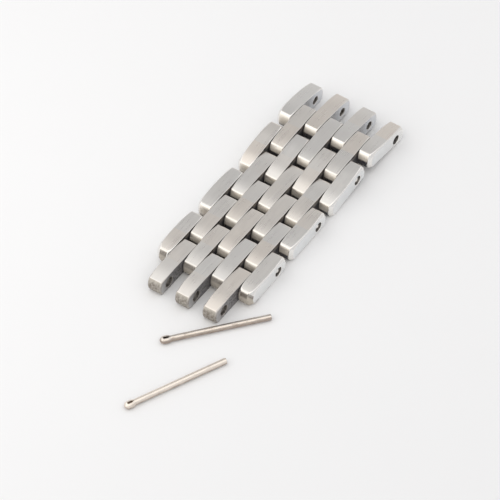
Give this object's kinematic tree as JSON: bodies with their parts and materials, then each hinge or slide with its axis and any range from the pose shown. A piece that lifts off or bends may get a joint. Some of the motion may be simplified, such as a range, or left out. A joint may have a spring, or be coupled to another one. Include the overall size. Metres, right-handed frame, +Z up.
{
  "type": "watch bracelet link section",
  "caption": "Brick-pattern steel watch bracelet section: domed links in staggered rows on cross pins that let it curl, open bores at both ends, loose split pins beside it.",
  "frame": {"origin": "on the underside of the strap, below the middle of the middle link of the fifth row from the near open end", "axes": "+X along the strap towards the open end with four links, +Y across it towards the edge without the pin heads, +Z up out of the tops"},
  "size_m": [0.0783, 0.0246, 0.0047],
  "materials": {
    "three_row_steel": "long brushed, with polished ends",
    "inner_link_steel": "long brushed, with polished ends",
    "edge_link_steel": "brushed top and side with a polished bevel",
    "fixed_pin_steel": "ground",
    "split_pin_steel": "drawn wire"
  },
  "bodies": {
    "row1_left": {"row1_left_link": "three_row_steel"},
    "row1_middle": {"row1_middle_link": "three_row_steel"},
    "row1_right": {"row1_right_link": "three_row_steel"},
    "row2": {"row2_left_edge_link": "edge_link_steel", "row2_left_inner_link": "inner_link_steel", "row2_right_inner_link": "inner_link_steel", "row2_right_edge_link": "edge_link_steel", "row2_fixed_pin": "fixed_pin_steel"},
    "row3": {"row3_left_link": "three_row_steel", "row3_middle_link": "three_row_steel", "row3_right_link": "three_row_steel"},
    "row4": {"row4_left_edge_link": "edge_link_steel", "row4_left_inner_link": "inner_link_steel", "row4_right_inner_link": "inner_link_steel", "row4_right_edge_link": "edge_link_steel", "row4_fixed_pin": "fixed_pin_steel"},
    "row5": {"row5_left_link": "three_row_steel", "row5_middle_link": "three_row_steel", "row5_right_link": "three_row_steel"},
    "row6": {"row6_left_edge_link": "edge_link_steel", "row6_left_inner_link": "inner_link_steel", "row6_right_inner_link": "inner_link_steel", "row6_right_edge_link": "edge_link_steel", "row6_fixed_pin": "fixed_pin_steel"},
    "row7": {"row7_left_link": "three_row_steel", "row7_middle_link": "three_row_steel", "row7_right_link": "three_row_steel"},
    "row8_edges": {"row8_left_edge_link": "edge_link_steel", "row8_right_edge_link": "edge_link_steel", "row8_fixed_pin": "fixed_pin_steel"},
    "row8_left_inner": {"row8_left_inner_link": "inner_link_steel"},
    "row8_right_inner": {"row8_right_inner_link": "inner_link_steel"},
    "row2_split_pin": {"row2_split_pin": "split_pin_steel"},
    "row4_split_pin": {"row4_split_pin": "split_pin_steel"},
    "row6_split_pin": {"row6_split_pin": "split_pin_steel"},
    "loose_split_pin_1": {"loose_split_pin_1": "split_pin_steel"},
    "loose_split_pin_2": {"loose_split_pin_2": "split_pin_steel"}
  },
  "joints": [
    {"name": "row1_left_hinge", "type": "hinge", "parent": "row2", "child": "row1_left", "pos_m": [-0.02161, 0, 0.00157], "axis": [0, -1, 0], "range_deg": [-20, 35]},
    {"name": "row1_middle_hinge", "type": "hinge", "parent": "row2", "child": "row1_middle", "pos_m": [-0.02161, 0, 0.00157], "axis": [0, -1, 0], "range_deg": [-20, 35]},
    {"name": "row1_right_hinge", "type": "hinge", "parent": "row2", "child": "row1_right", "pos_m": [-0.02161, 0, 0.00157], "axis": [0, -1, 0], "range_deg": [-20, 35]},
    {"name": "row2_hinge", "type": "hinge", "parent": "row3", "child": "row2", "pos_m": [-0.01562, 0, 0.00157], "axis": [0, -1, 0], "range_deg": [-20, 35]},
    {"name": "row3_hinge", "type": "hinge", "parent": "row4", "child": "row3", "pos_m": [-0.0092, 0, 0.00157], "axis": [0, -1, 0], "range_deg": [-20, 35]},
    {"name": "row4_hinge", "type": "hinge", "parent": "row5", "child": "row4", "pos_m": [-0.0032, 0, 0.00157], "axis": [0, -1, 0], "range_deg": [-20, 35]},
    {"name": "row6_hinge", "type": "hinge", "parent": "row5", "child": "row6", "pos_m": [0.0032, 0, 0.00157], "axis": [0, 1, 0], "range_deg": [-12.6, 42.4]},
    {"name": "row7_hinge", "type": "hinge", "parent": "row6", "child": "row7", "pos_m": [0.00915, 0, 0.00234], "axis": [0, 1, 0], "range_deg": [-24.7, 30.3]},
    {"name": "row8_edges_hinge", "type": "hinge", "parent": "row7", "child": "row8_edges", "pos_m": [0.01556, 0, 0.00264], "axis": [0, 1, 0], "range_deg": [-31.2, 23.8]},
    {"name": "row8_left_inner_hinge", "type": "hinge", "parent": "row7", "child": "row8_left_inner", "pos_m": [0.01556, 0, 0.00264], "axis": [0, 1, 0], "range_deg": [-28.2, 26.8]},
    {"name": "row8_right_inner_hinge", "type": "hinge", "parent": "row7", "child": "row8_right_inner", "pos_m": [0.01556, 0, 0.00264], "axis": [0, 1, 0], "range_deg": [-28.7, 26.3]},
    {"name": "row2_split_pin_slide", "type": "slide", "parent": "row2", "child": "row2_split_pin", "axis": [0, -1, 0], "range_m": [0, 0.021]},
    {"name": "row4_split_pin_slide", "type": "slide", "parent": "row4", "child": "row4_split_pin", "axis": [0, -1, 0], "range_m": [0, 0.021]},
    {"name": "row6_split_pin_slide", "type": "slide", "parent": "row6", "child": "row6_split_pin", "axis": [0, -1, 0], "range_m": [0, 0.021]},
    {"name": "loose_split_pin_1_lift", "type": "slide", "parent": "row5", "child": "loose_split_pin_1", "axis": [0, 0, 1], "range_m": [0, 0.015]},
    {"name": "loose_split_pin_2_lift", "type": "slide", "parent": "row5", "child": "loose_split_pin_2", "axis": [0, 0, 1], "range_m": [0, 0.015]}
  ]
}
